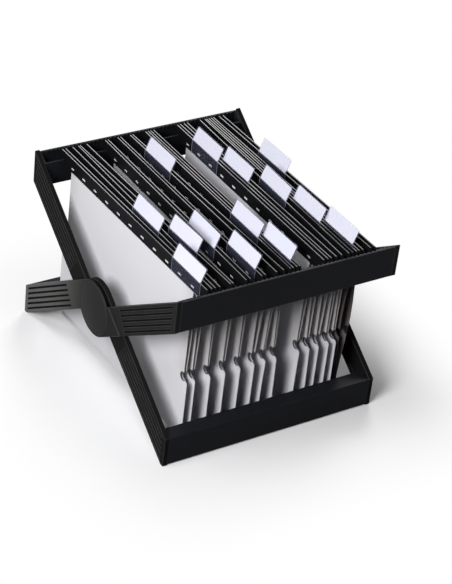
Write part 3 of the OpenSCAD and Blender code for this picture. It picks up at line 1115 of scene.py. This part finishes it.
class FILEBOX_OT_stage(bpy.types.Operator):
    """Sets the camera, the pale floor and the soft light"""

    bl_idname = "filebox.stage"
    bl_label = "Stage"

    def execute(self, context):
        look = context.scene.stage_look
        context.scene.view_settings.view_transform = "Standard"
        self.add_camera(context, look)
        self.add_floor(look)
        self.set_world(context, look)
        for name, power, turn, height in LAMPS:
            self.add_lamp(name, look, getattr(look, power), turn, height)
        return {"FINISHED"}

    def add_camera(self, context, look):
        a, e, r = look.azimuth, look.elevation, look.roll
        back = Vector((math.sin(a) * math.cos(e), -math.cos(a) * math.cos(e), math.sin(e)))
        level = Vector((math.cos(a), math.sin(a), 0))
        upright = back.cross(level)
        right = level * math.cos(r) + upright * math.sin(r)
        up = upright * math.cos(r) - level * math.sin(r)
        data = bpy.data.cameras.new("photo_camera")
        data.lens = look.lens
        data.sensor_width = SENSOR_WIDTH
        data.clip_start = CLIP_START
        data.clip_end = CLIP_END
        camera = bpy.data.objects.new("photo_camera", data)
        bpy.context.scene.collection.objects.link(camera)
        turned = Matrix((right, up, back)).transposed().to_4x4()
        place = Vector(look.target) + back * look.distance
        camera.matrix_world = Matrix.Translation(place) @ turned
        context.scene.camera = camera

    def add_floor(self, look):
        """A pale floor that keeps the shadow and fades to white further out"""
        bpy.ops.object.select_all(action="DESELECT")
        width = 2 * look.floor_half
        bpy.ops.mesh.primitive_grid_add(x_subdivisions=8, y_subdivisions=8, size=width)
        floor = context_piece("floor")
        finish = Finish("floor_paper")
        wave = finish.noise(180 * MM, detail=2.0)
        seen = self.seen_ray(finish)
        pale = finish.blend(wave, shaded(look.floor_colour, 0.99), look.floor_colour)
        finish.set(
            Base_Color=finish.blend(seen, look.floor_bounce, pale),
            Roughness=0.9,
            Specular_IOR_Level=0.1,
        )
        past_x = self.distance_past(finish, "X", CAD_HIGH.x)
        past_y = self.distance_past(finish, "Y", CAD_HIGH.y)
        share = finish.ramp(finish.length(past_x, past_y), *FLOOR_WHITE_SPAN) * seen
        white = finish.node("ShaderNodeEmission", {}, {"Color": (1, 1, 1, 1), "Strength": 1.0})
        finish.show_mixed(share, finish.body(), white)
        floor.data.materials.append(finish.material)

    def distance_past(self, finish, name, half):
        """How far the floor's point lies outside the stand's footprint, along one axis"""
        return finish.maths("MAXIMUM", finish.maths("ABSOLUTE", finish.axis(name)) - half, 0.0)

    def seen_ray(self, finish):
        """1 for what the camera sees, also in a reflection or through clear plastic"""
        rays = [
            finish.node("ShaderNodeLightPath", {}, {}, name)
            for name in ("Is Camera Ray", "Is Glossy Ray", "Is Transmission Ray")
        ]
        return finish.maths("MINIMUM", rays[0] + rays[1] + rays[2], 1.0)

    def set_world(self, context, look):
        world = bpy.data.worlds.new("soft_room")
        world.use_nodes = True
        context.scene.world = world
        room = Nodes(world.node_tree)
        sky = world.node_tree.nodes["Background"]
        seen = self.seen_ray(room)
        room.join(sky.inputs["Color"], (1, 1, 1, 1))
        room.join(sky.inputs["Strength"], look.world_strength + (1 - look.world_strength) * seen)

    def add_lamp(self, name, look, power, turn, height):
        """A soft lamp that many degrees round from the front to the left, and that many up"""
        a, e = math.radians(turn), math.radians(height)
        back = Vector((-math.sin(a) * math.cos(e), -math.cos(a) * math.cos(e), math.sin(e)))
        data = bpy.data.lights.new(name, "AREA")
        data.energy = power
        data.shape = "DISK"
        data.size = look.lamp_size
        lamp = bpy.data.objects.new(name, data)
        bpy.context.scene.collection.objects.link(lamp)
        place = Vector((0, 0, HUB_HEIGHT)) + back * look.lamp_distance
        turned = back.to_track_quat("Z", "Y").to_matrix().to_4x4()
        lamp.matrix_world = Matrix.Translation(place) @ turned


# ---------------------------------------------------------------- the add-on

STEPS = (
    FILEBOX_OT_stage,
    FILEBOX_OT_arms,
    FILEBOX_OT_beams,
    FILEBOX_OT_pivots,
    FILEBOX_OT_cards,
    FILEBOX_OT_rails,
    FILEBOX_OT_tabs,
)
LOOKS = (("stand_look", StandLook), ("folder_look", FolderLook), ("stage_look", StageLook))


class FILEBOX_PT_panel(bpy.types.Panel):
    """Lists the steps and the settings that they use"""

    bl_label = "File box"
    bl_idname = "FILEBOX_PT_panel"
    bl_space_type = "VIEW_3D"
    bl_region_type = "UI"
    bl_category = "File box"

    def draw(self, context):
        for name, look in LOOKS:
            box = self.layout.box()
            for key in look.__annotations__:
                box.prop(getattr(context.scene, name), key)
        for step in STEPS:
            self.layout.operator(step.bl_idname)


def register():
    for name, look in LOOKS:
        bpy.utils.register_class(look)
        setattr(bpy.types.Scene, name, PointerProperty(type=look))
    for step in STEPS:
        bpy.utils.register_class(step)
    bpy.utils.register_class(FILEBOX_PT_panel)


def unregister():
    bpy.utils.unregister_class(FILEBOX_PT_panel)
    for step in reversed(STEPS):
        bpy.utils.unregister_class(step)
    for name, look in reversed(LOOKS):
        delattr(bpy.types.Scene, name)
        bpy.utils.unregister_class(look)


def main():
    register()
    for step in STEPS:
        operator = getattr(bpy.ops.filebox, step.bl_idname.split(".")[1])
        operator()


if __name__ == "__main__":
    main()
